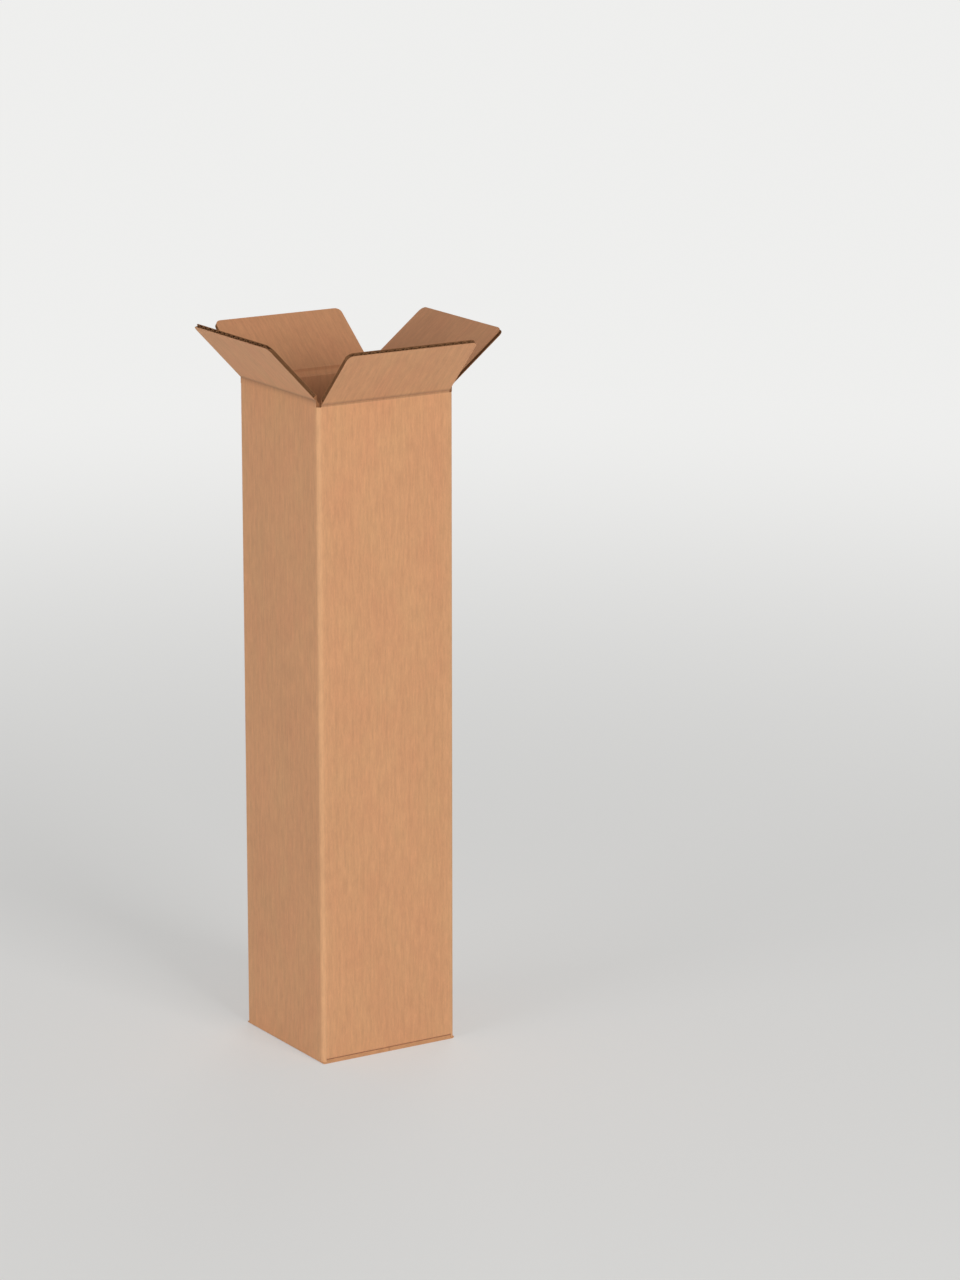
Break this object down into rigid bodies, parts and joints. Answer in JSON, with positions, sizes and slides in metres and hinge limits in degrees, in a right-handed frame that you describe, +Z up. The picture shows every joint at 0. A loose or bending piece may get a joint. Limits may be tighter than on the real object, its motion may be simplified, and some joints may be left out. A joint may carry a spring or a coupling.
{
  "type": "corrugated box",
  "caption": "Tall square corrugated carton standing open, with hinged top flaps leaning outward and a shut base, for packing and shipping long goods.",
  "frame": {"origin": "middle of the carton's footprint, on the surface that it stands on", "axes": "+Z up along the carton; -Y is the front panel's outward direction; -X is the left panel's outward direction"},
  "size_m": [0.1859, 0.1859, 0.51],
  "materials": {
    "kraft_board": "matte kraft liner, faint fibre and flute streaks",
    "kraft_flap": "matte kraft liner with open flutes at the free edge"
  },
  "bodies": {
    "carton": {"carton_body": "kraft_board"},
    "front_flap": {"front_flap": "kraft_flap"},
    "back_flap": {"back_flap": "kraft_flap"},
    "left_flap": {"left_flap": "kraft_flap"},
    "right_flap": {"right_flap": "kraft_flap"}
  },
  "joints": [
    {"name": "front_flap_crease", "type": "hinge", "parent": "carton", "child": "front_flap", "pos_m": [0, -0.05375, 0.46605], "axis": [1, 0, 0], "range_deg": [-133.5, 131.5]},
    {"name": "back_flap_crease", "type": "hinge", "parent": "carton", "child": "back_flap", "pos_m": [0, 0.05375, 0.46605], "axis": [-1, 0, 0], "range_deg": [-141.5, 123.5]},
    {"name": "left_flap_crease", "type": "hinge", "parent": "carton", "child": "left_flap", "pos_m": [-0.05375, 0, 0.46915], "axis": [0, -1, 0], "range_deg": [-133.5, 131.5]},
    {"name": "right_flap_crease", "type": "hinge", "parent": "carton", "child": "right_flap", "pos_m": [0.05375, 0, 0.46915], "axis": [0, 1, 0], "range_deg": [-141.5, 123.5]}
  ]
}
